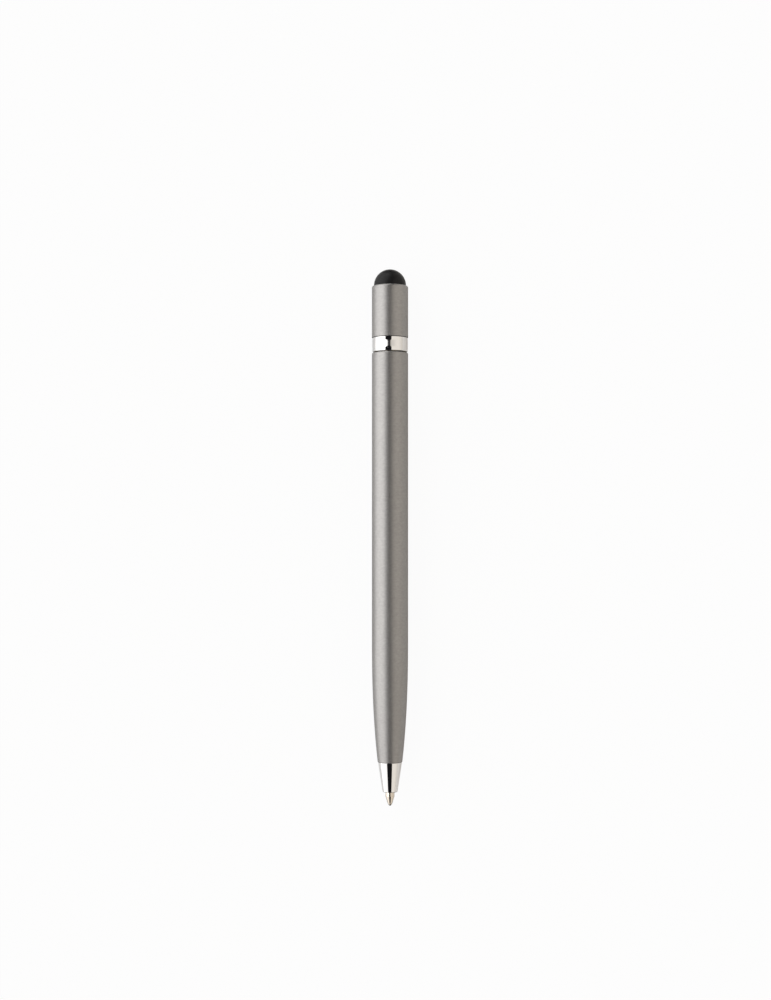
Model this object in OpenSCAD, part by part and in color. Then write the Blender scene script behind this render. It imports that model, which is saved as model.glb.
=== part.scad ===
// Twist-action ball pen with a rubber stylus dome, at real size in millimetres.
// The pen lies along Y on the plane z = 0: the writing ball points to -Y and the dome to +Y.
// Each piece is drawn standing, with z = 0 at the writing ball, and then laid down.

/* [Barrels] */
// Outer diameter of both barrels
barrel_d = 9.2; // [8.8:0.1:10.4]
// Wall of both barrels
barrel_wall = 0.45; // [0.3:0.05:0.65]
// Length of the lower barrel
lower_len = 103.8; // [90:0.1:120]
// Length of the upper barrel
upper_len = 13.15; // [12.6:0.05:16]
// Length over which the lower barrel is necked towards the nose
taper_len = 31; // [22:0.5:45]
// Outer diameter of the lower barrel where it meets the nose cone
taper_end_d = 6.26; // [5.8:0.02:7.4]
// How suddenly the necked length turns in, as an exponent (1 is a plain cone)
taper_power = 2.4; // [1.6:0.1:3]
// Rounding of the lower barrel's top edge
lower_edge_r = 0.3; // [0.1:0.05:0.3]
// Rounding of the upper barrel's rim, round the dome
rim_r = 0.5; // [0.1:0.05:0.7]

/* [Nose cone] */
// Length of the cone that shows
nose_len = 7.6; // [6.5:0.1:10]
// Diameter of the cone at its mouth
nose_mouth_d = 3.78; // [3.6:0.02:4.6]
// How far the cone stays inside the barrel's end, as a step in radius
nose_step = 0.11; // [0.02:0.01:0.2]
// Rounding of the mouth's lip
nose_lip_r = 0.25; // [0.1:0.05:0.3]
// Length of the shank that is pressed into the barrel
nose_shank_len = 8; // [5:0.5:12]
// Length over which the barrel's bore opens behind the shank
bore_blend_len = 8; // [6:0.5:12]
// Depth of the spring's seat behind the mouth
spring_seat_depth = 2.5; // [2:0.1:3.5]

/* [Centre ring] */
// Length of the ring
ring_len = 3.65; // [2.5:0.05:6]
// How far the ring lies below the barrels' surface
ring_recess = 0.1; // [0.02:0.01:0.2]
// How much the ring swells at mid length
ring_crown = 0.05; // [0.01:0.01:0.1]
// Bevel at both ends of the ring
ring_bevel = 0.1; // [0.05:0.05:0.3]
// Wall of the ring
ring_wall = 0.5; // [0.4:0.05:0.55]

/* [Twist action] */
// Distance that the refill slides back
travel = 5; // [4.2:0.1:5.5]
// Angle that the upper barrel turns to slide the refill right back
twist_angle = 180; // [120:5:180]
// Gap between the ring and the lower barrel, where the pen turns
twist_gap = 0.2; // [0.1:0.01:0.25]
// Diameter of the cross pin
pin_d = 1.0; // [0.8:0.05:1.2]
// Bore of the guide tube
guide_bore_d = 4.6; // [4.4:0.05:4.8]
// Wall of the guide tube round its bore
guide_wall = 0.6; // [0.5:0.05:0.65]
// Wall of the cam tube
cam_wall = 0.65; // [0.5:0.05:0.7]
// Solid length of the cam tube past each end of its slots
cam_bridge = 1.2; // [0.8:0.1:1.4]
// Thickness of the guide tube's flange
flange_t = 1.0; // [0.8:0.1:1.6]
// Length of the guide tube's screwed end
spigot_len = 8; // [6:0.5:9.5]
// Length of the insert in the lower barrel
insert_len = 10; // [9.5:0.5:14]
// Wall of the insert
insert_wall = 0.65; // [0.5:0.05:0.7]
// Depth of the follower's socket, where the ink tube sits
socket_depth = 4; // [3:0.25:6]
// Length of the follower between the ink tube and the middle of the cross pin
follower_core = 10.77; // [8:0.01:16]
// Solid length of the follower past the cross pin
follower_head = 0.4; // [0.3:0.05:0.8]

/* [Washers and clip] */
// Height of the wave washer as fitted
wave_h = 0.4; // [0.3:0.05:0.5]
// Thickness of the wave washer's sheet
wave_t = 0.15; // [0.1:0.01:0.2]
// Number of waves round the washer
wave_count = 3; // [2:1:5]
// Width of the wave washer's sheet
wave_w = 0.5; // [0.4:0.05:0.6]
// Thickness of the flat washer under the clip
clip_washer_t = 0.2; // [0.15:0.05:0.3]
// Thickness of the retaining clip
clip_t = 0.4; // [0.3:0.05:0.6]
// Depth of the clip's groove
groove_depth = 0.25; // [0.15:0.05:0.3]
// Width of the clip, from its bore to its edge
clip_w = 0.7; // [0.6:0.05:0.85]
// Angle of the clip's open mouth
clip_mouth = 70; // [50:5:90]

/* [Refill] */
// Outer diameter of the ink tube
tube_d = 3.0; // [2.8:0.05:3.2]
// Bore of the ink tube
tube_bore_d = 2.0; // [1.8:0.05:2.1]
// Length of the ink tube that is empty behind the ink
ink_room = 17.8; // [8:0.1:80]
// Distance from the ball to the front end of the ink tube
point_len = 13; // [12:0.1:16]
// Diameter of the metal point
point_d = 2.3; // [2.1:0.05:2.4]
// Length of the cone at the metal point
point_cone_len = 2.1; // [1.6:0.1:4]
// Length of the cone's steeper end, round the ball
point_nose_len = 0.5; // [0.3:0.05:0.8]
// Diameter of the cone where its steeper end begins
point_nose_d = 1.32; // [1.1:0.02:1.7]
// Length of the metal point inside the ink tube
point_shank_len = 4; // [3:0.5:6]
// How far the ball and the point stand out of the nose cone
point_reach = 3.5; // [2.5:0.1:4]
// Diameter of the writing ball
ball_d = 0.8; // [0.7:0.05:1]
// How far the ball stands out of the point's rim
ball_reach = 0.3; // [0.2:0.01:0.34]
// Thickness of the point's rim round the ball
ball_lip = 0.05; // [0.03:0.01:0.08]
// Bore of the ink feed behind the ball
feed_d = 0.3; // [0.2:0.05:0.5]
// Bore of the metal point behind the feed
point_bore_d = 1.2; // [0.8:0.05:1.4]

/* [Return spring] */
// Diameter of the spring's wire
wire_d = 0.28; // [0.2:0.02:0.3]
// Number of turns
spring_turns = 8; // [5:1:9]

/* [Stylus] */
// How far the dome stands out of the upper barrel
nib_reach = 4.2; // [3:0.1:4.4]
// Wall of the hollow rubber dome
nib_wall = 0.9; // [0.6:0.05:1.2]
// Length of the dome's straight skirt
nib_skirt = 1.5; // [1.2:0.1:2]
// Thickness of the lip that the holder's head keeps in place
nib_lip_t = 0.9; // [0.6:0.05:1]
// Diameter of the holder's neck, inside the lip
neck_d = 4; // [3:0.1:4.4]
// Diameter of the holder's head, over the lip
head_d = 5.4; // [5:0.1:5.8]
// Thickness of the holder's head
head_t = 0.8; // [0.5:0.05:0.9]
// Thickness of the holder's base in the upper barrel
holder_base_t = 2.2; // [1.5:0.1:2.4]

/* [Fits] */
// Radial gap of pieces that are pressed or screwed together
fit_gap = 0.02; // [0.01:0.005:0.03]
// Gap of pieces that turn or slide on each other
run_gap = 0.05; // [0.03:0.01:0.08]
// Radial gap of the writing ball in its socket
ball_gap = 0.01; // [0.01:0.002:0.02]
// Radial gap round the metal point in the nose cone's mouth
mouth_gap = 0.1; // [0.05:0.01:0.15]
// Radial gap between the spring and the metal point inside it
spring_gap = 0.05; // [0.03:0.01:0.08]
// Radial gap between the spring and the nose cone's bore
spring_bore_gap = 0.08; // [0.06:0.01:0.15]
// Radial gap between the ink tube and the nose cone's bore
tube_gap = 0.25; // [0.2:0.01:0.35]
// Radial gap between the dome and the upper barrel
nib_gap = 0.07; // [0.03:0.01:0.08]
// Chamfer on the inner turned parts
chamfer = 0.2; // [0.1:0.05:0.25]

/* [Hidden] */
$fn = 96;

// How far a cutting shape runs past what it cuts
overrun = 0.2;
// Points on each rounded edge, on the necked length, on the ring's swell and on a slot's round end
edge_steps = 6;
taper_steps = 16;
crown_steps = 8;
slot_end_steps = 12;
// Degrees of turn between two sections of a helical slot
cam_step_angle = 5;
// Sections round the wave washer
wave_steps = 60;
// Rings on each turn of the spring, and sides of its wire
spring_rings = 8;
spring_sides = 6;

// Radii, from the outside inwards
barrel_r = barrel_d / 2;
bore_r = barrel_r - barrel_wall;
taper_end_r = taper_end_d / 2;
ring_r = barrel_r - ring_recess;
ring_bore_r = ring_r - ring_wall;
insert_bore_r = bore_r - fit_gap - insert_wall;
guide_bore_r = guide_bore_d / 2;
guide_r = guide_bore_r + guide_wall;
groove_r = guide_r - groove_depth;
cam_bore_r = guide_r + run_gap;
cam_r = cam_bore_r + cam_wall;
sleeve_bore_r = cam_r + fit_gap;
pin_r = pin_d / 2;
tube_r = tube_d / 2;
tube_bore_r = tube_bore_d / 2;
point_r = point_d / 2;
wire_r = wire_d / 2;
// The wire runs straight from ring to ring, so its inner side is nearest the point midway
spring_inner_r = (point_r + spring_gap) / cos(180 / spring_rings);
spring_r = spring_inner_r + wire_r;
spring_bore_r = spring_r + wire_r + spring_bore_gap;
nose_shank_r = taper_end_r - barrel_wall - fit_gap;
ball_r = ball_d / 2;
neck_r = neck_d / 2;
head_r = head_d / 2;
nib_r = bore_r - nib_gap;

// Heights along the pen, from the writing ball
nose_mouth_z = point_reach;
spring_seat_z = nose_mouth_z + spring_seat_depth;
nose_top_z = nose_mouth_z + nose_len;
taper_top_z = nose_top_z + taper_len;
lower_top_z = nose_top_z + lower_len;
flange_z = lower_top_z - flange_t;
ring_z = lower_top_z + twist_gap;
upper_z = ring_z + ring_len;
upper_top_z = upper_z + upper_len;
nib_centre_z = upper_top_z + nib_reach - nib_r;
nib_z = nib_centre_z - nib_skirt;
holder_z = nib_z - holder_base_t;
overall_len = upper_top_z + nib_reach;

// The helical slots climb by this much for each radian of turn, and are tall enough for the pin
cam_lead = travel / (twist_angle * PI / 180);
slot_half_w = pin_r + run_gap;
cam_slot_half_h = slot_half_w * sqrt(1 + pow(cam_lead / cam_bore_r, 2));
cam_end_angle = asin(slot_half_w / cam_bore_r);
cam_end_rise = cam_lead * cam_end_angle * PI / 180;
cam_z = lower_top_z + wave_h + run_gap;
pin_z = cam_z + cam_bridge + cam_slot_half_h + cam_end_rise;
cam_top_z = pin_z + travel + cam_end_rise + cam_slot_half_h + cam_bridge;
// The refill reaches from the ball to the follower's socket, so it is as long as the barrel lets it be
refill_len = pin_z - follower_core;
clip_washer_z = cam_top_z + run_gap;
clip_z = clip_washer_z + clip_washer_t;
guide_top_z = clip_z + clip_t + groove_depth + fit_gap;

// Radius of the lower barrel's outside at a height
function barrel_r_at(z) =
    z >= taper_top_z ? barrel_r
    : barrel_r - (barrel_r - taper_end_r) * pow((taper_top_z - z) / taper_len, taper_power);

// Points on an arc round [x, y], from one angle to another
function arc(x, y, r, from, to, steps) = [
    for (i = [0 : steps]) let (a = from + (to - from) * i / steps) [x + r * cos(a), y + r * sin(a)]
];

// Outline of a slot of a half width, with round ends at two heights
function slot_outline(half_w, low, high) = concat(
    arc(0, high, half_w, 0, 180, slot_end_steps),
    arc(0, low, half_w, 180, 360, slot_end_steps)
);

// Side faces of a tube of quads between sections of n points, and its end faces
function side_faces(sections, n) = [
    for (i = [0 : sections - 2], j = [0 : n - 1])
        let (a = i * n + j, b = i * n + (j + 1) % n)
            each [[a, b, b + n], [a, b + n, a + n]]
];
function end_face(first, n, flip) = [for (j = [0 : n - 1]) first + (flip ? n - 1 - j : j)];

// Lays a standing piece down along Y, on the plane z = 0
module lay() {
    translate([0, -overall_len / 2, barrel_r]) rotate([-90, 0, 0]) children();
}

module lathe(points) {
    rotate_extrude() polygon(points);
}

module bar(r, low, high) {
    translate([0, 0, low]) cylinder(r = r, h = high - low);
}

// A slot with round ends, cut right through along X
module through_slot(half_w, low, high, reach) {
    translate([-reach, 0, 0])
        rotate([90, 0, 90])
            linear_extrude(height = 2 * reach) polygon(slot_outline(half_w, low, high));
}

module lower_barrel() {
    blend_z = nose_top_z + nose_shank_len + bore_blend_len;
    outer = [
        for (i = [0 : taper_steps])
            let (z = nose_top_z + taper_len * i / taper_steps) [barrel_r_at(z), z]
    ];
    top_edge = arc(
        barrel_r - lower_edge_r, lower_top_z - lower_edge_r, lower_edge_r, 0, 90, edge_steps
    );
    inner = [
        for (i = [taper_steps : -1 : 0])
            let (z = nose_top_z + taper_len * i / taper_steps)
                if (z > blend_z) [barrel_r_at(z) - barrel_wall, z]
    ];
    front_bore = [
        [barrel_r_at(blend_z) - barrel_wall, blend_z],
        [nose_shank_r + fit_gap, nose_top_z + nose_shank_len],
        [nose_shank_r + fit_gap, nose_top_z]
    ];
    color([0.56, 0.54, 0.51])
        lay() lathe(concat(outer, top_edge, [[bore_r, lower_top_z]], inner, front_bore));
}

module nose_cone() {
    back_r = taper_end_r - nose_step;
    mouth_r = nose_mouth_d / 2;
    mouth_bore_r = point_r + mouth_gap;
    shank_top_z = nose_top_z + nose_shank_len;
    room_r = tube_r + tube_gap;
    room_z = point_len - 2 * run_gap;
    lip = arc(mouth_r - nose_lip_r, nose_mouth_z + nose_lip_r, nose_lip_r, -90, 0, edge_steps);
    color([0.86, 0.86, 0.87])
        lay() lathe(concat(
            [[mouth_bore_r, nose_mouth_z]],
            lip,
            [
                [back_r, nose_top_z],
                [nose_shank_r, nose_top_z],
                [nose_shank_r, shank_top_z - chamfer],
                [nose_shank_r - chamfer, shank_top_z],
                [room_r + chamfer, shank_top_z],
                [room_r, shank_top_z - chamfer],
                [room_r, room_z],
                [spring_bore_r, room_z],
                [spring_bore_r, spring_seat_z],
                [mouth_bore_r, spring_seat_z]
            ]
        ));
}

module barrel_insert() {
    low = flange_z - insert_len;
    outer_r = bore_r - fit_gap;
    color([0.78, 0.64, 0.36])
        lay() lathe([
            [insert_bore_r, low],
            [outer_r - chamfer, low],
            [outer_r, low + chamfer],
            [outer_r, flange_z],
            [insert_bore_r, flange_z]
        ]);
}

// The fixed tube of the twist action: screwed end, flange, slotted neck and clip groove
module guide_tube() {
    spigot_r = insert_bore_r - fit_gap;
    spigot_z = flange_z - spigot_len;
    groove_top_z = clip_z + clip_t + fit_gap;
    color([0.82, 0.82, 0.80])
        lay() difference() {
            lathe([
                [guide_bore_r, spigot_z],
                [spigot_r - chamfer, spigot_z],
                [spigot_r, spigot_z + chamfer],
                [spigot_r, flange_z],
                [bore_r - fit_gap, flange_z],
                [bore_r - fit_gap, lower_top_z],
                [guide_r, lower_top_z],
                [guide_r, clip_z],
                [groove_r, clip_z],
                [groove_r, groove_top_z],
                [guide_r, groove_top_z],
                [guide_r, guide_top_z],
                [guide_bore_r, guide_top_z]
            ]);
            through_slot(slot_half_w, pin_z, pin_z + travel, guide_r + overrun);
        }
}

module wave_washer() {
    inner_r = cam_bore_r;
    outer_r = cam_bore_r + wave_w;
    crest = wave_h - wave_t - 2 * fit_gap;
    points = [
        for (i = [0 : wave_steps])
            let (
                a = 360 * i / wave_steps,
                z = lower_top_z + fit_gap + crest * (1 - cos(wave_count * a)) / 2
            )
                each [for (p = [[inner_r, 0], [outer_r, 0], [outer_r, wave_t], [inner_r, wave_t]])
                    [p[0] * cos(a), p[0] * sin(a), z + p[1]]]
    ];
    sides = 4;
    used = wave_steps * sides;
    color([0.72, 0.72, 0.73])
        lay() polyhedron(
            points = [for (i = [0 : used - 1]) points[i]],
            faces = [for (f = side_faces(wave_steps + 1, sides)) [for (v = f) v % used]]
        );
}

module clip_washer() {
    color([0.78, 0.64, 0.36])
        lay() difference() {
            bar(cam_r - chamfer / 2, clip_washer_z, clip_z);
            bar(cam_bore_r, clip_washer_z - overrun, clip_z + overrun);
        }
}

module retaining_clip() {
    inner_r = groove_r + fit_gap;
    reach = inner_r + clip_w + overrun;
    side = reach * tan(clip_mouth / 2);
    color([0.62, 0.62, 0.63])
        lay() translate([0, 0, clip_z]) linear_extrude(height = clip_t) difference() {
            circle(r = inner_r + clip_w);
            circle(r = inner_r);
            polygon([[0, 0], [side, reach], [-side, reach]]);
        }
}

// The spring's wire, as rings along a helix between the nose cone's seat and the ink tube
spring_low_z = spring_seat_z + wire_r + fit_gap;
spring_high_z = point_len - wire_r - fit_gap;
spring_sections = spring_turns * spring_rings;
spring_climb = (spring_high_z - spring_low_z) / spring_turns;
spring_slope = atan(spring_climb / (2 * PI * spring_r));
function spring_at(i) =
    let (a = 360 * i / spring_rings)
        [spring_r * cos(a), spring_r * sin(a), spring_low_z + spring_climb * i / spring_rings];
function spring_ring(i) =
    let (a = 360 * i / spring_rings, c = spring_at(i))
        [for (j = [0 : spring_sides - 1])
            let (b = 360 * j / spring_sides, out = wire_r * cos(b), up = wire_r * sin(b))
                c + [
                    out * cos(a) + up * sin(spring_slope) * sin(a),
                    out * sin(a) - up * sin(spring_slope) * cos(a),
                    up * cos(spring_slope)
                ]];
spring_least_gap = min([
    for (i = [0 : spring_sections - spring_rings], j = [i + spring_rings / 2 : spring_sections])
        norm(spring_at(i) - spring_at(j))
]) - wire_d;
echo(spring_least_gap = spring_least_gap);

module return_spring() {
    last = spring_sections * spring_sides;
    color([0.70, 0.70, 0.72])
        lay() polyhedron(
            points = [for (i = [0 : spring_sections]) each spring_ring(i)],
            faces = concat(
                side_faces(spring_sections + 1, spring_sides),
                [end_face(0, spring_sides, true), end_face(last, spring_sides, false)]
            )
        );
}

module upper_barrel() {
    // A rounding that is larger than the wall stops at the bore
    rim_turn = acos(max(0, 1 - barrel_wall / rim_r));
    rim = arc(barrel_r - rim_r, upper_top_z - rim_r, rim_r, 0, rim_turn, edge_steps);
    color([0.56, 0.54, 0.51])
        lay() lathe(concat(
            [[bore_r, upper_z], [barrel_r, upper_z]],
            rim,
            [[bore_r, upper_top_z - rim_r * (1 - sin(rim_turn))]]
        ));
}

module centre_ring() {
    swell = [
        for (i = [0 : crown_steps])
            let (share = i / crown_steps)
                [
                    ring_r - ring_crown * pow(2 * share - 1, 2),
                    ring_z + ring_bevel + (ring_len - 2 * ring_bevel) * share
                ]
    ];
    edge_r = ring_r - ring_crown - ring_bevel;
    color([0.86, 0.86, 0.87])
        lay() lathe(concat(
            [[ring_bore_r, ring_z], [edge_r, ring_z]],
            swell,
            [[edge_r, upper_z], [ring_bore_r, upper_z]]
        ));
}

// Carries the ring and the upper barrel outside, and the cam tube inside
module drive_sleeve() {
    color([0.78, 0.64, 0.36])
        lay() lathe([
            [sleeve_bore_r, ring_z],
            [ring_bore_r - fit_gap, ring_z],
            [ring_bore_r - fit_gap, upper_z],
            [bore_r - fit_gap, upper_z],
            [bore_r - fit_gap, holder_z],
            [sleeve_bore_r, holder_z]
        ]);
}

// A helical slot: the way of one end of the cross pin, seen from the turning tube
module cam_slot(start_angle) {
    first = -cam_end_angle;
    last = twist_angle + cam_end_angle;
    sections = ceil((last - first) / cam_step_angle);
    sides = 4;
    inner_r = cam_bore_r - overrun;
    outer_r = cam_r + overrun;
    points = [
        for (i = [0 : sections])
            let (
                turned = first + (last - first) * i / sections,
                a = start_angle - turned,
                z = pin_z + cam_lead * turned * PI / 180
            )
                each [for (p = [
                        [inner_r, -cam_slot_half_h],
                        [outer_r, -cam_slot_half_h],
                        [outer_r, cam_slot_half_h],
                        [inner_r, cam_slot_half_h]
                    ])
                    [p[0] * cos(a), p[0] * sin(a), z + p[1]]]
    ];
    polyhedron(
        points = points,
        faces = [
            for (f = concat(
                side_faces(sections + 1, sides),
                [end_face(0, sides, true), end_face(sections * sides, sides, false)]
            ))
                [for (k = [len(f) - 1 : -1 : 0]) f[k]]
        ]
    );
}

module cam_tube() {
    color([0.93, 0.93, 0.90])
        lay() difference() {
            bar(cam_r, cam_z, cam_top_z);
            bar(cam_bore_r, cam_z - overrun, cam_top_z + overrun);
            cam_slot(0);
            cam_slot(180);
        }
}

module stylus_holder() {
    neck_top_z = nib_z + nib_lip_t + run_gap;
    base_r = bore_r - fit_gap;
    color([0.75, 0.76, 0.78])
        lay() lathe([
            [0, holder_z],
            [base_r - chamfer, holder_z],
            [base_r, holder_z + chamfer],
            [base_r, nib_z],
            [neck_r, nib_z],
            [neck_r, neck_top_z],
            [head_r, neck_top_z],
            [head_r, neck_top_z + head_t / 2],
            [head_r - head_t / 2, neck_top_z + head_t],
            [0, neck_top_z + head_t]
        ]);
}

// Hollow rubber dome with a straight skirt and a lip that turns in under the holder's head
module stylus_nib() {
    room_r = nib_r - nib_wall;
    color([0.11, 0.11, 0.11])
        lay() difference() {
            union() {
                bar(nib_r, nib_z, nib_centre_z);
                intersection() {
                    translate([0, 0, nib_centre_z]) sphere(r = nib_r);
                    bar(nib_r + overrun, nib_centre_z, nib_centre_z + nib_r + overrun);
                }
            }
            intersection() {
                translate([0, 0, nib_centre_z]) sphere(r = room_r);
                bar(nib_r, nib_centre_z, nib_centre_z + nib_r);
            }
            bar(room_r, nib_z + nib_lip_t, nib_centre_z + fit_gap);
            bar(neck_r + run_gap, nib_z - overrun, nib_centre_z);
        }
}

// Slides in the guide tube: a socket for the ink tube below, and the cross pin's hole above
module follower() {
    low = refill_len - socket_depth;
    high = pin_z + pin_r + follower_head;
    r = guide_bore_r - run_gap;
    color([0.93, 0.93, 0.90])
        lay() difference() {
            lathe([
                [0, low],
                [r - chamfer, low],
                [r, low + chamfer],
                [r, high - chamfer],
                [r - chamfer, high],
                [0, high]
            ]);
            bar(tube_r + fit_gap, low - overrun, refill_len);
            translate([-r - overrun, 0, pin_z])
                rotate([0, 90, 0]) cylinder(r = pin_r + fit_gap, h = 2 * (r + overrun));
        }
}

module cross_pin() {
    half_len = cam_r - 2 * run_gap;
    color([0.62, 0.62, 0.63])
        lay() translate([-half_len, 0, pin_z]) rotate([0, 90, 0]) cylinder(r = pin_r, h = 2 * half_len);
}

module ink_tube() {
    color([0.86, 0.88, 0.90])
        lay() difference() {
            bar(tube_r, point_len, refill_len);
            bar(tube_bore_r, point_len - overrun, refill_len + overrun);
        }
}

module ink_paste() {
    color([0.06, 0.07, 0.12])
        lay() bar(tube_bore_r - fit_gap, point_len + point_shank_len, refill_len - ink_room);
}

// The refill's metal point: cone with the ball's socket, straight length, and shank in the tube
module point_housing() {
    ball_rim_r = sqrt(pow(ball_r, 2) - pow(ball_r - ball_reach, 2));
    socket_r = ball_r + ball_gap;
    shank_r = tube_bore_r - fit_gap;
    shank_top_z = point_len + point_shank_len;
    feed_top_z = ball_reach + point_cone_len;
    color([0.80, 0.74, 0.66])
        lay() difference() {
            lathe([
                [0, ball_reach],
                [ball_rim_r + ball_lip, ball_reach],
                [point_nose_d / 2, ball_reach + point_nose_len],
                [point_r, ball_reach + point_cone_len],
                [point_r, point_len],
                [shank_r, point_len],
                [shank_r, shank_top_z],
                [0, shank_top_z]
            ]);
            translate([0, 0, ball_r]) sphere(r = socket_r);
            bar(feed_d / 2, ball_r, feed_top_z + overrun);
            bar(point_bore_d / 2, feed_top_z, shank_top_z + overrun);
        }
}

module writing_ball() {
    color([0.45, 0.45, 0.46])
        lay() translate([0, 0, ball_r]) sphere(r = ball_r);
}

lower_barrel();
nose_cone();
barrel_insert();
guide_tube();
wave_washer();
clip_washer();
retaining_clip();
return_spring();
upper_barrel();
centre_ring();
drive_sleeve();
cam_tube();
stylus_holder();
stylus_nib();
follower();
cross_pin();
ink_tube();
ink_paste();
point_housing();
writing_ball();
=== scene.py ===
# A twist-action ball pen with a rubber stylus dome, lying on a pale floor, seen from straight above
from math import asin, atan, atan2, cos, pi, sin, tan

import bmesh
import bpy
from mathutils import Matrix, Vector


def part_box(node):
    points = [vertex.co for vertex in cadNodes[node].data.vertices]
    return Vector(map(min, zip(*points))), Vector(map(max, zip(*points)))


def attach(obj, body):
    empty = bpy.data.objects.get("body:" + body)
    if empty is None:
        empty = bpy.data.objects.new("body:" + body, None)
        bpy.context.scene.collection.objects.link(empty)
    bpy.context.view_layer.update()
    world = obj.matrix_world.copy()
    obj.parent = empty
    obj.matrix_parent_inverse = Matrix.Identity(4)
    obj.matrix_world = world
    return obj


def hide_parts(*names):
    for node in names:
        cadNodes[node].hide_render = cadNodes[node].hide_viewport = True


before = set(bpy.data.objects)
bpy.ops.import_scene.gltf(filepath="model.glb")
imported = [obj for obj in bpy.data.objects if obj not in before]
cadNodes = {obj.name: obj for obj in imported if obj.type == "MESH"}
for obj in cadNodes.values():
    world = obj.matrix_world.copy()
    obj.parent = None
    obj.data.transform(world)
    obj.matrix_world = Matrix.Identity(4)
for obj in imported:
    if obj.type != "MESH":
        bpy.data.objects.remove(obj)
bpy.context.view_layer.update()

mm = 0.001

# The pen's axis and both its ends, from the solids
barrelLow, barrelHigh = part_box("lower_barrel")
axisHeight = (barrelLow.z + barrelHigh.z) / 2
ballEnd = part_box("writing_ball")[0].y
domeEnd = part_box("stylus_nib")[1].y


def station(node, side):
    # Distance in mm from the ball's end to the low (0) or high (1) end of a CAD piece
    return (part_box(node)[side].y - ballEnd) / mm


def halfWidth(node):
    low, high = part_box(node)
    return (high.x - low.x) / 2 / mm


print("frame: pen", round((domeEnd - ballEnd) / mm, 2), "mm long")


# Shapes

# The guard is how far a guard point stands off the end of a rounding, in radii. A point that lies
# nearer to the axis than the least radius, in mm, is a pole
turning = {"roundingSteps": 5, "guard": 0.25, "sides": 128, "leastRadius": 1e-6}


def arc(centre, radius, first, turn, steps):
    # Points round a centre (radius, station); the angle 0 lies outwards and pi / 2 towards the dome
    angles = [first + turn * k / steps for k in range(steps + 1)]
    return [Vector((centre[0] + radius * cos(a), centre[1] + radius * sin(a))) for a in angles]


def softened(corners, steps=turning["roundingSteps"]):
    # An outline from corners (radius, station, rounding), with guard points at each rounding's ends
    points = []
    count = len(corners)
    for i, (radius, along, rounding) in enumerate(corners):
        here = Vector((radius, along))
        if not rounding:
            points.append(here)
            continue
        back = (Vector(corners[i - 1][:2]) - here).normalized()
        onward = (Vector(corners[(i + 1) % count][:2]) - here).normalized()
        half = back.angle(onward) / 2
        reach = rounding / tan(half)
        centre = here + (back + onward).normalized() * rounding / sin(half)
        start, end = here + back * reach - centre, here + onward * reach - centre
        first = atan2(start.y, start.x)
        turn = (atan2(end.y, end.x) - first + pi) % (2 * pi) - pi
        points.append(centre + start + back * rounding * turning["guard"])
        points += arc(centre, rounding, first, turn, steps)
        points.append(centre + end + onward * rounding * turning["guard"])
    return points


def finishMesh(name, mesh, body, material, replaced):
    data = bpy.data.meshes.new(name)
    bmesh.ops.recalc_face_normals(mesh, faces=mesh.faces)
    mesh.to_mesh(data)
    mesh.free()
    data.shade_smooth()
    piece = bpy.data.objects.new(name, data)
    bpy.context.scene.collection.objects.link(piece)
    data.materials.append(material)
    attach(piece, body)
    if replaced:
        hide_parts(*replaced)
    return piece


def onPen(radius, along, angle):
    return Vector((
        radius * cos(angle) * mm,
        ballEnd + along * mm,
        axisHeight - radius * sin(angle) * mm,
    ))


def turned(name, outline, body, material, replaced=(), sides=turning["sides"]):
    # A closed outline of points (radius, station) in mm, turned about the pen's axis
    mesh = bmesh.new()
    rings = []
    for radius, along in outline:
        if radius < turning["leastRadius"]:
            rings.append([mesh.verts.new(onPen(0, along, 0))])
        else:
            rings.append([
                mesh.verts.new(onPen(radius, along, 2 * pi * k / sides)) for k in range(sides)
            ])
    for here, there in zip(rings, rings[1:] + rings[:1]):
        if len(here) == 1 and len(there) == 1:
            continue
        for k in range(sides):
            n = (k + 1) % sides
            corners = [here[k % len(here)], here[n % len(here)],
                       there[n % len(there)], there[k % len(there)]]
            # Beside a pole, two of the four are the same point
            mesh.faces.new([v for i, v in enumerate(corners) if v not in corners[:i]])
    return finishMesh(name, mesh, body, material, replaced)


# Materials

class Socket:
    # A node's output that Python's own signs can reckon with
    def __init__(self, tree, output):
        self.tree, self.output = tree, output

    def reckon(self, operation, first, second=0.0):
        return self.tree.node("ShaderNodeMath", {"operation": operation}, {0: first, 1: second})

    def __add__(self, other):
        return self.reckon("ADD", self, other)

    def __radd__(self, other):
        return self.reckon("ADD", other, self)

    def __sub__(self, other):
        return self.reckon("SUBTRACT", self, other)

    def __rsub__(self, other):
        return self.reckon("SUBTRACT", other, self)

    def __mul__(self, other):
        return self.reckon("MULTIPLY", self, other)

    def __rmul__(self, other):
        return self.reckon("MULTIPLY", other, self)

    def __truediv__(self, other):
        return self.reckon("DIVIDE", self, other)

    def __rtruediv__(self, other):
        return self.reckon("DIVIDE", other, self)

    def size(self):
        return self.reckon("ABSOLUTE", self)

    def most(self, other):
        return self.reckon("MAXIMUM", self, other)

    def rise(self, low, high):
        # 0 below low and 1 above high, with a smooth way between
        return self.tree.node(
            "ShaderNodeMapRange", {"interpolation_type": "SMOOTHSTEP"}, {0: self, 1: low, 2: high}
        )


# Where a Mix node takes its factor and its two colours, and where it gives their mix
mixSockets = {"factor": 0, "first": 6, "second": 7, "result": 2}


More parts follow.
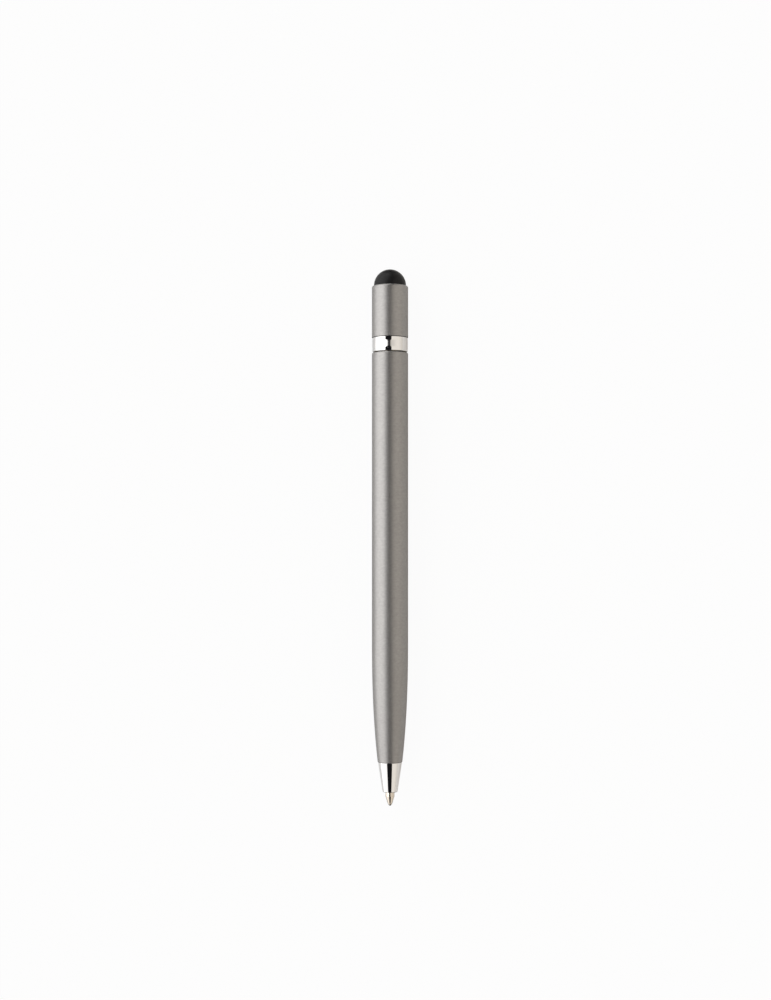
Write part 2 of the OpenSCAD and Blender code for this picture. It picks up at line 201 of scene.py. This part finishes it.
class Tree:
    def __init__(self, nodeTree):
        self.nodes, self.links = nodeTree.nodes, nodeTree.links
        self.nodes.clear()

    def node(self, kind, settings=None, inputs=None, output=0):
        made = self.nodes.new(kind)
        for name, value in (settings or {}).items():
            setattr(made, name, value)
        for name, value in (inputs or {}).items():
            if isinstance(value, Socket):
                self.links.new(value.output, made.inputs[name])
            else:
                made.inputs[name].default_value = value
        return Socket(self, made.outputs[output]) if made.outputs else None

    def place(self, kind="Object"):
        return self.node("ShaderNodeTexCoord", output=kind)

    def part(self, place, axis):
        return self.node("ShaderNodeSeparateXYZ", inputs={0: place}, output=axis)

    def millimetres(self):
        # Place on the pen in mm, the same for every piece
        spot = self.place()
        return self.node("ShaderNodeVectorMath", {"operation": "SCALE"}, {0: spot, "Scale": 1 / mm})

    def noise(self, spot, scale, detail=2.0, roughness=0.5):
        # The scale is one number, or one for each axis
        if isinstance(scale, tuple):
            spot = self.node("ShaderNodeVectorMath", {"operation": "MULTIPLY"}, {0: spot, 1: scale})
            scale = 1.0
        return self.node("ShaderNodeTexNoise", inputs={
            "Vector": spot, "Scale": scale, "Detail": detail, "Roughness": roughness})

    def seam(self, places):
        # Painted shade mask: 1 at each of these stations, and 0 a little away from them
        along = self.part(self.place(), "Y") * (1 / mm) - ballEnd / mm
        dark = 0
        for place, reach in places:
            dark = (1 - (along - place).size() / reach).most(dark)
        return dark

    def mix(self, factor, first, second):
        # first and second are colours, or sockets that give one
        first, second = [c if isinstance(c, Socket) else (*c, 1) for c in (first, second)]
        m = mixSockets
        inputs = {m["factor"]: factor, m["first"]: first, m["second"]: second}
        return self.node("ShaderNodeMix", {"data_type": "RGBA"}, inputs, m["result"])

    def varied(self, factor, colour, shades):
        # From the darker of a colour's two shades to the lighter one
        return self.mix(factor, shaded(colour, shades[0]), shaded(colour, shades[1]))

    def bump(self, height, strength, depth):
        return self.node("ShaderNodeBump", inputs={
            "Height": height, "Strength": strength, "Distance": depth * mm})

    def surface(self, **values):
        names = {"baseColour": "Base Color", "specular": "Specular IOR Level",
                 "scatter": "Subsurface Weight"}
        inputs = {names.get(name, name.capitalize()): value for name, value in values.items()}
        self.finish(self.node("ShaderNodeBsdfPrincipled", inputs=inputs))

    def matt(self, colour):
        return self.node("ShaderNodeBsdfDiffuse", inputs={"Color": (*colour, 1)})

    def glow(self, colour, strength=1.0):
        return self.node("ShaderNodeEmission", inputs={"Color": (*colour, 1), "Strength": strength})

    def ray(self, kind):
        return self.node("ShaderNodeLightPath", output=kind)

    def blend(self, factor, first, second):
        # first and second are shaders
        return self.node("ShaderNodeMixShader", inputs={0: factor, 1: first, 2: second})

    def finish(self, shader, kind="ShaderNodeOutputMaterial"):
        self.node(kind, inputs={"Surface": shader})


def newMaterial(name):
    material = bpy.data.materials.new(name)
    material.use_nodes = True
    return material, Tree(material.node_tree)


def shaded(colour, share):
    return tuple(c * share for c in colour)


# A noise swings about this value
middle = 0.5

# Painted shade at each joint: station of each and how far its darkness reaches, in mm
ringGap = 0.2
paintedShadeJoints = {
    "satin": [
        (station("lower_barrel", 0), 0.16), (station("lower_barrel", 1) + ringGap / 2, 0.24),
        (station("upper_barrel", 0), 0.1),
    ],
    "chrome": [
        (station("nose_cone", 0), 0.2), (station("centre_ring", 0), 0.14),
        (station("centre_ring", 1), 0.14),
    ],
}

# In every finish, a noise has its scale per mm, and a bump its strength and its depth in mm
satinBarrel = {
    "colour": (0.362, 0.352, 0.344), "shades": (0.8, 1.2), "paintedJointShade": 0.1,
    "roughness": 0.4, "speckleRoughness": 0.12, "bump": (0.12, 0.02),
    "speckle": {"scale": 5.0, "detail": 3, "roughness": 0.6}, "speckleShade": 0.4,
    "mottle": {"scale": (1.3, 2.2, 1.3)}, "mottleShade": 0.9,
    "cloud": {"scale": 0.35}, "cloudShade": 0.15,
}


def satinBarrelMaterial():
    # Satin metal: fine blasted speckle in colour, roughness and height, with painted shade at each
    # joint
    b = satinBarrel
    material, tree = newMaterial("satinBarrel")
    spot = tree.millimetres()
    speckle = tree.noise(spot, **b["speckle"])
    cloud = tree.noise(spot, **b["cloud"])
    mottle = tree.noise(spot, **b["mottle"])
    shade = (speckle - middle) * b["speckleShade"] + (mottle - middle) * b["mottleShade"]
    shade = shade + (cloud - middle) * b["cloudShade"] + middle
    baseColour = tree.varied(shade, b["colour"], b["shades"])
    # Painted shade: the colour darkens at each joint
    paintedShadeColour = shaded(b["colour"], b["paintedJointShade"])
    baseColour = tree.mix(tree.seam(paintedShadeJoints["satin"]), baseColour, paintedShadeColour)
    tree.surface(
        baseColour=baseColour, metallic=1.0,
        roughness=b["roughness"] + (speckle - middle) * b["speckleRoughness"],
        normal=tree.bump(speckle, *b["bump"]),
    )
    return material


brightChrome = {
    "colour": (0.85, 0.84, 0.83), "shades": (0.97, 1.03), "paintedJointShade": 0.1,
    "roughness": 0.05, "hazeRoughness": 0.04, "bump": (0.03, 0.01),
    "haze": {"scale": 0.8, "detail": 3}, "rings": {"scale": (0.05, 14, 0.05)},
}


def brightChromeMaterial():
    # Plated and polished: faint haze and the last traces of the lathe under the plating, with
    # painted shade at each joint
    b = brightChrome
    material, tree = newMaterial("brightChrome")
    spot = tree.millimetres()
    haze = tree.noise(spot, **b["haze"])
    rings = tree.noise(spot, **b["rings"])
    baseColour = tree.varied(haze, b["colour"], b["shades"])
    # Painted shade: the colour darkens at each joint
    paintedShadeColour = shaded(b["colour"], b["paintedJointShade"])
    baseColour = tree.mix(tree.seam(paintedShadeJoints["chrome"]), baseColour, paintedShadeColour)
    tree.surface(
        baseColour=baseColour, metallic=1.0,
        roughness=(haze - middle) * b["hazeRoughness"] + b["roughness"],
        normal=tree.bump(rings, *b["bump"]),
    )
    return material


turnedMetals = {
    "brass": {
        "colour": (0.72, 0.55, 0.27), "roughness": 0.28, "tarnish": (0.45, 0.30, 0.12),
    },
    "nickelledBrass": {
        "colour": (0.66, 0.65, 0.61), "roughness": 0.25, "tarnish": (0.5, 0.47, 0.4),
    },
    "springSteel": {
        "colour": (0.5, 0.5, 0.52), "roughness": 0.3, "tarnish": (0.33, 0.32, 0.32),
    },
    "turnedAluminium": {
        "colour": (0.6, 0.61, 0.63), "roughness": 0.32, "tarnish": (0.5, 0.5, 0.5),
    },
}
latheMarks = {
    "rings": {"scale": (0.2, 9, 0.2), "detail": 3, "roughness": 0.6}, "ringRoughness": 0.1,
    "dullness": {"scale": 0.6, "detail": 3}, "dullFrom": 0.5, "dullTo": 0.75,
    "dullRoughness": 0.15, "tarnishShare": 0.5, "bump": (0.15, 0.02),
}


def turnedMetalMaterial(name):
    # Bare metal from the lathe: fine rings round the axis and a little dullness
    b, metal = latheMarks, turnedMetals[name]
    material, tree = newMaterial(name)
    spot = tree.millimetres()
    rings = tree.noise(spot, **b["rings"])
    dull = tree.noise(spot, **b["dullness"]).rise(b["dullFrom"], b["dullTo"])
    tree.surface(
        baseColour=tree.mix(dull * b["tarnishShare"], metal["colour"], metal["tarnish"]),
        metallic=1.0,
        roughness=(
            dull * b["dullRoughness"] + (rings - middle) * b["ringRoughness"] + metal["roughness"]
        ),
        normal=tree.bump(rings, *b["bump"]),
    )
    return material


whitePlastic = {
    "colour": (0.82, 0.82, 0.79), "shades": (0.95, 1.04), "roughness": 0.42, "grainRoughness": 0.15,
    "scatter": 0.1, "bump": (0.1, 0.01), "grain": {"scale": 12}, "cloud": {"scale": 0.5},
}


def whitePlasticMaterial():
    # Moulded acetal: slightly cloudy, with a spark-finish grain
    b = whitePlastic
    material, tree = newMaterial("whitePlastic")
    spot = tree.millimetres()
    grain = tree.noise(spot, **b["grain"])
    cloud = tree.noise(spot, **b["cloud"])
    tree.surface(
        baseColour=tree.varied(cloud, b["colour"], b["shades"]),
        roughness=b["roughness"] + (grain - middle) * b["grainRoughness"],
        scatter=b["scatter"],
        normal=tree.bump(grain, *b["bump"]),
    )
    return material


blackRubber = {
    "colour": (0.009, 0.009, 0.0095), "roughness": 0.37, "specular": 0.2, "bump": (0.2, 0.015),
    "grain": {"scale": 9, "detail": 3, "roughness": 0.6}, "grainRoughness": 0.2,
    "dust": {"scale": 3.5, "detail": 4, "roughness": 0.7}, "dustFrom": 0.62, "dustTo": 0.78,
    "dustColour": (0.09, 0.088, 0.085), "dustShare": 0.35, "dustRoughness": 0.1,
}


def blackRubberMaterial():
    # Silicone rubber: fine grain and a little dust that it always picks up
    b = blackRubber
    material, tree = newMaterial("blackRubber")
    spot = tree.millimetres()
    grain = tree.noise(spot, **b["grain"])
    dust = tree.noise(spot, **b["dust"]).rise(b["dustFrom"], b["dustTo"])
    tree.surface(
        baseColour=tree.mix(dust * b["dustShare"], b["colour"], b["dustColour"]),
        roughness=(
            b["roughness"] + (grain - middle) * b["grainRoughness"] + dust * b["dustRoughness"]
        ),
        specular=b["specular"],
        normal=tree.bump(grain, *b["bump"]),
    )
    return material


clearTube = {
    "colour": (0.8, 0.83, 0.85), "shades": (0.94, 1.04), "alpha": 0.5, "roughness": 0.12,
    "lines": {"scale": (6, 0.05, 6)}, "lineRoughness": 0.1, "bump": (0.08, 0.01),
}


def clearTubeMaterial():
    # Extruded polypropylene: milky, with faint lengthwise draw lines
    b = clearTube
    material, tree = newMaterial("clearTube")
    lines = tree.noise(tree.millimetres(), **b["lines"])
    tree.surface(
        baseColour=tree.varied(lines, b["colour"], b["shades"]),
        roughness=b["roughness"] + lines * b["lineRoughness"], alpha=b["alpha"],
        normal=tree.bump(lines, *b["bump"]),
    )
    return material


inkPaste = {
    "colour": (0.012, 0.014, 0.035), "shades": (0.6, 1.5), "roughness": 0.15, "bump": (0.05, 0.02),
    "swirl": {"scale": 0.7, "detail": 4, "roughness": 0.6}, "swirlRoughness": 0.08,
}


def inkMaterial():
    # Thick oily ink: glossy, with slow swirls
    b = inkPaste
    material, tree = newMaterial("ink")
    swirl = tree.noise(tree.millimetres(), **b["swirl"])
    tree.surface(
        baseColour=tree.varied(swirl, b["colour"], b["shades"]),
        roughness=b["roughness"] + swirl * b["swirlRoughness"],
        normal=tree.bump(swirl, *b["bump"]),
    )
    return material


pointMetal = {
    "colour": (0.78, 0.70, 0.60), "shades": (0.94, 1.05), "roughness": 0.12, "ringRoughness": 0.06,
    "rings": {"scale": (0.2, 22, 0.2)}, "bump": (0.03, 0.005),
}


def pointMetalMaterial():
    # Nickel silver, turned on a fast machine: bright, warm, with fine tool rings
    b = pointMetal
    material, tree = newMaterial("pointMetal")
    rings = tree.noise(tree.millimetres(), **b["rings"])
    tree.surface(
        baseColour=tree.varied(rings, b["colour"], b["shades"]), metallic=1.0,
        roughness=b["roughness"] + (rings - middle) * b["ringRoughness"],
        normal=tree.bump(rings, *b["bump"]),
    )
    return material


hardBall = {
    "colour": (0.13, 0.125, 0.12), "shades": (0.85, 1.15), "roughness": 0.15, "poreRoughness": 0.1,
    "pores": {"scale": 30, "detail": 3, "roughness": 0.7}, "bump": (0.1, 0.004),
}


def hardBallMaterial():
    # Sintered carbide: polished, with fine pores, and always wet with ink
    b = hardBall
    material, tree = newMaterial("hardBall")
    pores = tree.noise(tree.millimetres(), **b["pores"])
    tree.surface(
        baseColour=tree.varied(pores, b["colour"], b["shades"]), metallic=1.0,
        roughness=b["roughness"] + (pores - middle) * b["poreRoughness"],
        normal=tree.bump(pores, *b["bump"]),
    )
    return material


satin = satinBarrelMaterial()
chrome = brightChromeMaterial()
brass = turnedMetalMaterial("brass")
nickel = turnedMetalMaterial("nickelledBrass")
steel = turnedMetalMaterial("springSteel")
aluminium = turnedMetalMaterial("turnedAluminium")
plastic = whitePlasticMaterial()
rubber = blackRubberMaterial()
tube = clearTubeMaterial()
ink = inkMaterial()
pointFinish = pointMetalMaterial()
ballFinish = hardBallMaterial()
print("materials made")


# Pieces, with all their sizes in mm

# Lower barrel, straight and then necked towards the nose
lowerBarrel = {
    "radius": halfWidth("lower_barrel"), "wall": 0.45,
    "front": station("lower_barrel", 0), "back": station("lower_barrel", 1),
    "taperLength": 31, "taperEndRadius": 3.13, "taperPower": 2.4, "taperSteps": 64,
    "shankLength": 8, "shankBore": 2.68, "blendLength": 8,
    "frontRounding": 0.12, "backRounding": 0.3, "frontBoreRounding": 0.03, "backBoreRounding": 0.05,
}


def makeLowerBarrel():
    b = lowerBarrel
    taperTop = b["front"] + b["taperLength"]
    shankTop = b["front"] + b["shankLength"]
    blendTop = shankTop + b["blendLength"]

    def outside(along):
        share = max(taperTop - along, 0) / b["taperLength"]
        return b["radius"] - (b["radius"] - b["taperEndRadius"]) * share ** b["taperPower"]

    taper = [
        b["front"] + b["taperLength"] * i / b["taperSteps"] for i in range(1, b["taperSteps"] + 1)
    ]
    corners = [
        (b["shankBore"], b["front"], b["frontBoreRounding"]),
        (outside(b["front"]), b["front"], b["frontRounding"]),
    ]
    corners += [(outside(along), along, 0) for along in taper]
    corners += [
        (b["radius"], b["back"], b["backRounding"]),
        (b["radius"] - b["wall"], b["back"], b["backBoreRounding"]),
    ]
    corners += [
        (outside(along) - b["wall"], along, 0) for along in reversed(taper) if along > blendTop
    ]
    corners += [(outside(blendTop) - b["wall"], blendTop, 0), (b["shankBore"], shankTop, 0)]
    outline = softened(corners)
    return turned("lowerBarrel", outline, "barrel", satin, ["lower_barrel"])


makeLowerBarrel()

# Upper barrel, with the rounded rim that holds the dome
upperBarrel = {
    "radius": halfWidth("upper_barrel"), "wall": 0.45,
    "front": station("upper_barrel", 0), "back": station("upper_barrel", 1),
    "rimRounding": 0.5, "frontRounding": 0.06, "frontBoreRounding": 0.03, "rimBoreRounding": 0.02,
    "roundingSteps": 7,
}


def makeUpperBarrel():
    b = upperBarrel
    bore = b["radius"] - b["wall"]
    outline = softened([
        (bore, b["front"], b["frontBoreRounding"]), (b["radius"], b["front"], b["frontRounding"]),
        (b["radius"], b["back"], b["rimRounding"]), (bore, b["back"], b["rimBoreRounding"]),
    ], b["roundingSteps"])
    return turned("upperBarrel", outline, "cap", satin, ["upper_barrel"])


makeUpperBarrel()

# Centre ring, slightly crowned, with a bevel at both ends
centreRing = {
    "radius": halfWidth("centre_ring"), "wall": 0.5, "crown": 0.05, "bevel": 0.1,
    "front": station("centre_ring", 0), "back": station("centre_ring", 1),
    "edgeRounding": 0.03, "boreRounding": 0.03, "crownSteps": 20,
}


def makeCentreRing():
    b = centreRing
    bore = b["radius"] - b["wall"]
    edge = b["radius"] - b["crown"]
    length = b["back"] - b["front"] - 2 * b["bevel"]
    corners = [
        (bore, b["front"], b["boreRounding"]), (edge - b["bevel"], b["front"], b["edgeRounding"]),
        (edge, b["front"] + b["bevel"], b["edgeRounding"]),
    ]
    for i in range(1, b["crownSteps"]):
        share = i / b["crownSteps"]
        crowned = b["radius"] - b["crown"] * (2 * share - 1) ** 2
        corners.append((crowned, b["front"] + b["bevel"] + length * share, 0))
    corners += [
        (edge, b["back"] - b["bevel"], b["edgeRounding"]),
        (edge - b["bevel"], b["back"], b["edgeRounding"]), (bore, b["back"], b["boreRounding"]),
    ]
    outline = softened(corners)
    return turned("centreRing", outline, "cap", chrome, ["centre_ring"])


makeCentreRing()

# Nose cone, with its shank in the barrel and the spring's seat
noseCone = {
    "mouth": station("nose_cone", 0), "shankTop": station("nose_cone", 1),
    "length": 7.6, "mouthRadius": 1.89, "backRadius": 3.02, "mouthBore": 1.25, "shankRadius": 2.66,
    "seatDepth": 2.5, "springBore": 1.6589, "roomBore": 1.75, "roomFront": 12.9, "chamfer": 0.2,
    "lipRounding": 0.25, "edgeRounding": 0.05, "shankRounding": 0.03, "roundingSteps": 6,
}


def makeNoseCone():
    b = noseCone
    top = b["mouth"] + b["length"]
    seat = b["mouth"] + b["seatDepth"]
    edge, chamferFront = b["edgeRounding"], b["shankTop"] - b["chamfer"]
    outline = softened([
        (b["mouthBore"], b["mouth"], edge), (b["mouthRadius"], b["mouth"], b["lipRounding"]),
        (b["backRadius"], top, edge), (b["shankRadius"], top, b["shankRounding"]),
        (b["shankRadius"], chamferFront, 0), (b["shankRadius"] - b["chamfer"], b["shankTop"], 0),
        (b["roomBore"] + b["chamfer"], b["shankTop"], 0), (b["roomBore"], chamferFront, 0),
        (b["roomBore"], b["roomFront"], 0), (b["springBore"], b["roomFront"], 0),
        (b["springBore"], seat, edge), (b["mouthBore"], seat, edge),
    ], b["roundingSteps"])
    return turned("noseCone", outline, "barrel", chrome, ["nose_cone"])


makeNoseCone()

# Metal point with the ball's socket and the ink feed
point = {
    "ballReach": 0.3, "rimRadius": 0.437, "noseRadius": 0.66, "noseLength": 0.5, "coneLength": 2.1,
    "radius": halfWidth("point_housing"), "tubeFront": station("ink_tube", 0),
    "shankRadius": 0.98, "shankTop": station("point_housing", 1),
    "socketRadius": 0.41, "feedRadius": 0.15, "bore": 0.6,
    "rimRounding": 0.015, "noseRounding": 0.12, "coneRounding": 0.2, "stepRounding": 0.02,
    "shankRounding": 0.03, "socketSteps": 12, "sides": 96,
}


def makePoint():
    b = point
    ballRadius = halfWidth("writing_ball")
    rim = b["ballReach"]
    cone = rim + b["coneLength"]
    outline = softened([
        (b["rimRadius"], rim, b["rimRounding"]),
        (b["noseRadius"], rim + b["noseLength"], b["noseRounding"]),
        (b["radius"], cone, b["coneRounding"]), (b["radius"], b["tubeFront"], b["stepRounding"]),
        (b["shankRadius"], b["tubeFront"], b["stepRounding"]),
        (b["shankRadius"], b["shankTop"], b["shankRounding"]),
        (b["bore"], b["shankTop"], b["shankRounding"]), (b["bore"], cone, b["shankRounding"]),
        (b["feedRadius"], cone, b["stepRounding"]),
    ])
    # The socket, from the feed's mouth round to the rim
    first = pi / 2 - asin(b["feedRadius"] / b["socketRadius"])
    last = -asin((ballRadius - rim) / b["socketRadius"])
    outline += arc((0, ballRadius), b["socketRadius"], first, last - first, b["socketSteps"])
    return turned(
        "metalPoint", outline, "refill", pointFinish, ["point_housing"], b["sides"]
    )


makePoint()

# Ball that rolls in the point's socket
rollingBall = {"radius": halfWidth("writing_ball"), "steps": 32, "sides": 64}


def makeBall():
    b = rollingBall
    outline = arc((0, b["radius"]), b["radius"], -pi / 2, pi, b["steps"])
    return turned(
        "rollingBall", outline, "ball", ballFinish, ["writing_ball"], b["sides"]
    )


makeBall()

# Hollow rubber dome over the holder's head
dome = {
    "radius": halfWidth("stylus_nib"),
    "front": station("stylus_nib", 0), "top": station("stylus_nib", 1),
    "wall": 0.9, "lip": 0.9, "lipRadius": 2.05, "rounding": 0.1, "outerSteps": 40, "innerSteps": 16,
}


def makeDome():
    b = dome
    centre = b["top"] - b["radius"]
    room = b["radius"] - b["wall"]
    lipTop, rounding = b["front"] + b["lip"], b["rounding"]
    outside = arc((0, centre), b["radius"], 0, pi / 2, b["outerSteps"])
    inside = arc((0, centre), room, pi / 2, -pi / 2, b["innerSteps"])
    skirt = softened([
        (room, lipTop, rounding), (b["lipRadius"], lipTop, rounding),
        (b["lipRadius"], b["front"], rounding), (b["radius"], b["front"], rounding),
        (b["radius"], centre, 0),
    ])[:-1]
    outline = outside + inside + skirt
    return turned("rubberDome", outline, "cap", rubber, ["stylus_nib"])


makeDome()

# Return spring: round wire, wound evenly
spring = {
    "turns": 8, "meanRadius": 1.4389, "wireRadius": 0.14, "ringsEachTurn": 28, "wireSides": 12,
    "front": station("return_spring", 0), "back": station("return_spring", 1),
}


def makeSpring():
    b = spring
    mesh = bmesh.new()
    steps = b["turns"] * b["ringsEachTurn"]
    front, back = b["front"] + b["wireRadius"], b["back"] - b["wireRadius"]
    climb = back - front
    slope = atan(climb / (b["turns"] * 2 * pi * b["meanRadius"]))
    rings = []
    for i in range(steps + 1):
        a = 2 * pi * i / b["ringsEachTurn"]
        along = front + climb * i / steps
        ring = []
        for j in range(b["wireSides"]):
            c = 2 * pi * j / b["wireSides"]
            out, up = b["wireRadius"] * cos(c), b["wireRadius"] * sin(c)
            radius = b["meanRadius"] + out
            sideways = -up * sin(slope)
            spot = onPen(radius, along + up * cos(slope), a + sideways / radius)
            ring.append(mesh.verts.new(spot))
        rings.append(ring)
    for here, there in zip(rings, rings[1:]):
        for j in range(b["wireSides"]):
            n = (j + 1) % b["wireSides"]
            mesh.faces.new([here[j], here[n], there[n], there[j]])
    mesh.faces.new(rings[0])
    mesh.faces.new(rings[-1])
    return finishMesh("returnSpring", mesh, "barrel", steel, ["return_spring"])


makeSpring()
print("pieces made")

# Finishes of the inner solids that stay as they are
innerFinishes = {
    "barrel_insert": brass, "guide_tube": nickel, "wave_washer": steel, "clip_washer": brass,
    "retaining_clip": steel, "drive_sleeve": brass, "cam_tube": plastic, "stylus_holder": aluminium,
    "follower": plastic, "cross_pin": steel, "ink_tube": tube, "ink_paste": ink,
}
for node, material in innerFinishes.items():
    cadNodes[node].data.materials.clear()
    cadNodes[node].data.materials.append(material)
print("inner pieces finished")


# Floor, light and camera, with their sizes in metres

white = (1, 1, 1)

floorLook = {
    "size": 3.0, "cells": 2, "drop": 0.00002, "colour": (0.85, 0.85, 0.85), "whiteShare": 0.95,
    "leftGloss": (1.1, 1.12, 1.14), "rightGloss": (1.0, 0.93, 0.84), "glossShare": 0.2,
    "glossEdge": 0.003, "leftGlow": 1.7, "leftShare": 0.9, "leftNear": -0.010, "leftFar": -0.045,
}


def makeFloor():
    b = floorLook
    mesh = bmesh.new()
    bmesh.ops.create_grid(mesh, x_segments=b["cells"], y_segments=b["cells"], size=b["size"] / 2)
    data = bpy.data.meshes.new("floor")
    mesh.to_mesh(data)
    mesh.free()
    floor = bpy.data.objects.new("floor", data)
    floor.location.z = -b["drop"]
    bpy.context.scene.collection.objects.link(floor)
    material, tree = newMaterial("paleFloor")
    seen = tree.ray("Is Camera Ray")
    glossy = tree.ray("Is Glossy Ray")
    look = tree.blend(seen * b["whiteShare"], tree.matt(b["colour"]), tree.glow(white))
    # Painted reflection: for glossy rays the floor glows cool on the pen's left and warm on its
    # right
    x = tree.part(tree.place(), "X")
    cool, warm = tree.glow(b["leftGloss"]), tree.glow(b["rightGloss"])
    paintedReflection = tree.blend(x.rise(-b["glossEdge"], b["glossEdge"]), cool, warm)
    look = tree.blend(glossy * b["glossShare"], look, paintedReflection)
    # Painted light for glossy rays: the floor's left side glows like the bright softbox's light,
    # fading out near the pen as a painted shadow
    paintedLightMask = x.rise(b["leftNear"], b["leftFar"]) * glossy * b["leftShare"]
    tree.finish(tree.blend(paintedLightMask, look, tree.glow(white, b["leftGlow"])))
    data.materials.append(material)


makeFloor()

darkCards = {
    "nibGap": 0.0012, "domeGap": 0.008, "width": 0.016, "depth": 0.06, "height": 0.0001,
    "colour": (0.02, 0.02, 0.022),
}


def makeDarkCard(name, front):
    # Beyond an end of the pen, out of the camera's sight, it darkens every edge that faces that way
    b = darkCards
    half, back, height = b["width"] / 2, front + b["depth"], b["height"]
    corners = [
        (-half, front, height), (half, front, height), (half, back, height), (-half, back, height),
    ]
    data = bpy.data.meshes.new(name)
    data.from_pydata(corners, [], [(0, 1, 2, 3)])
    card = bpy.data.objects.new(name, data)
    bpy.context.scene.collection.objects.link(card)
    card.visible_camera = False
    card.visible_diffuse = False
    card.visible_shadow = False
    material, tree = newMaterial(name)
    tree.finish(tree.matt(b["colour"]))
    data.materials.append(material)


makeDarkCard("nibCard", ballEnd - darkCards["nibGap"] - darkCards["depth"])
makeDarkCard("domeCard", domeEnd + darkCards["domeGap"])

# A pair says where a change begins and where it is whole. The ways say how far a direction points
# along the pen, from -1 to 1 at the dome's end. Gaps and fades, and what widens or moves the gaps,
# are in degrees from straight up
studio = {
    "left": (2.0, 1.99, 1.97), "leftFar": (1.2, 1.19, 1.18), "leftFarWay": (-0.2, -0.4),
    "right": (0.895, 0.843, 0.773), "rightFar": (0.48, 0.45, 0.41),
    "overhead": (0.009, 0.009, 0.01), "dim": (0.42, 0.41, 0.4),
    "leftGap": 13.0, "rightGap": 3.0, "edge": 1.5, "ringSoftness": 4,
    "ringWay": 0.125, "wideWay": (0.04, 0.07), "leftWider": 18.5, "rightWider": 7.0,
    "slopeWay": 0.12, "rightSlope": 28, "shiftWay": 0.25, "shift": 45,
    "betweenWay": (-0.34, -0.31), "betweenEndWay": (-0.17, -0.2), "closer": 15,
    "domeWay": (0.48, 0.64), "domeEndWay": (0.97, 0.9), "duskWay": (-0.97, -0.92),
    "leftFade": {"ring": (34, 14), "ringShare": 0.6, "dome": (92, 28), "domeShare": 0.35},
    "rightFade": {"ring": (50, 5), "ringShare": 0.25, "dome": (92, 28), "domeShare": 0.4},
    "low": (55, 90), "lowShare": 0.2, "leastHeight": 0.0001,
}


def paintWorld():
    # A big softbox on the left, a weaker one on the right and a dark gap between them, overhead
    b = studio
    world = bpy.data.worlds.new("studio")
    bpy.context.scene.world = world
    world.use_nodes = True
    tree = Tree(world.node_tree)
    way = tree.place("Generated")
    x, y, z = [tree.part(way, axis) for axis in "XYZ"]
    # Angles from straight up, to the right and to the left, in degrees
    lean = x.reckon("ARCTAN2", x, z.most(b["leastHeight"])) * (180 / pi)
    leftLean = -1 * lean
    off = (y - b["ringWay"]).size()
    wide = off.rise(*b["wideWay"])
    beyond = (off - b["slopeWay"]).most(0)
    # Between the ways that the ring and the nose mirror, the gap is narrower and less dark
    between = y.rise(*b["betweenWay"]) * y.rise(*b["betweenEndWay"])
    leftGap = wide * b["leftWider"] + b["leftGap"] - between * b["closer"]
    rightGap = wide * b["rightWider"] + b["rightGap"] + beyond * b["rightSlope"]
    # On the dome's side the gap lies further right
    shift = (y - b["shiftWay"]).most(0) * b["shift"]
    leftGap, rightGap = leftGap - shift, rightGap + shift
    # The ring's thin strip has softer sides than the rest, and the dome mirrors boxes that fade
    # inwards
    thin = 1 - wide
    soft = thin * b["ringSoftness"] + 1
    domeSide = y.rise(*b["domeWay"]) * y.rise(*b["domeEndWay"])

    def kept(side, fade):
        ring = thin * side.rise(*fade["ring"]) * fade["ringShare"]
        return 1 - (ring + domeSide * side.rise(*fade["dome"]) * fade["domeShare"])

    leftBox = (leftLean - leftGap).rise(-b["edge"], b["edge"]) * kept(leftLean, b["leftFade"])
    rightBox = ((lean - rightGap) / soft).rise(-b["edge"], b["edge"]) * kept(lean, b["rightFade"])
    # The right box is weaker towards the horizon
    rightBox = rightBox * (1 - lean.rise(*b["low"]) * b["lowShare"])
    colour = tree.mix(between, b["overhead"], b["dim"])
    colour = tree.mix(leftBox, colour, tree.mix(y.rise(*b["leftFarWay"]), b["left"], b["leftFar"]))
    colour = tree.mix(rightBox, colour, tree.mix(between, b["right"], b["rightFar"]))
    # The side that the ball's end points to is dark towards the horizon
    colour = tree.mix(y.rise(*b["duskWay"]), b["overhead"], colour)
    light = tree.node("ShaderNodeBackground", inputs={"Color": colour})
    backdrop = tree.node("ShaderNodeBackground", inputs={"Color": (*white, 1)})
    tree.finish(tree.blend(tree.ray("Is Camera Ray"), light, backdrop), "ShaderNodeOutputWorld")


paintWorld()

# The picture is 771 by 1000, with a pixel of 0.2539 mm at the pen's axis. The middle of the pen and
# the point straight below the camera are given in pixels
view = {
    "imageWidth": 771, "imageHeight": 1000, "pixel": 0.2539, "distance": 0.402,
    "penMiddle": (390.0, 537.6), "nadir": (390.0, 543), "sensor": 36, "near": 0.01,
}


def makeCamera():
    b = view
    data = bpy.data.cameras.new("camera")
    camera = bpy.data.objects.new("camera", data)
    bpy.context.scene.collection.objects.link(camera)
    bpy.context.scene.camera = camera
    camera.location = (
        (b["nadir"][0] - b["penMiddle"][0]) * b["pixel"] * mm,
        (ballEnd + domeEnd) / 2 - (b["nadir"][1] - b["penMiddle"][1]) * b["pixel"] * mm,
        axisHeight + b["distance"],
    )
    data.sensor_fit = "VERTICAL"
    data.sensor_height = b["sensor"]
    data.lens = b["sensor"] * b["distance"] / (b["imageHeight"] * b["pixel"] * mm)
    data.shift_x = -(b["nadir"][0] - b["imageWidth"] / 2) / b["imageHeight"]
    data.shift_y = (b["nadir"][1] - b["imageHeight"] / 2) / b["imageHeight"]
    data.clip_start = b["near"]
    data.dof.use_dof = False


makeCamera()
bpy.context.scene.view_settings.view_transform = "Standard"
print("floor, light and camera made")
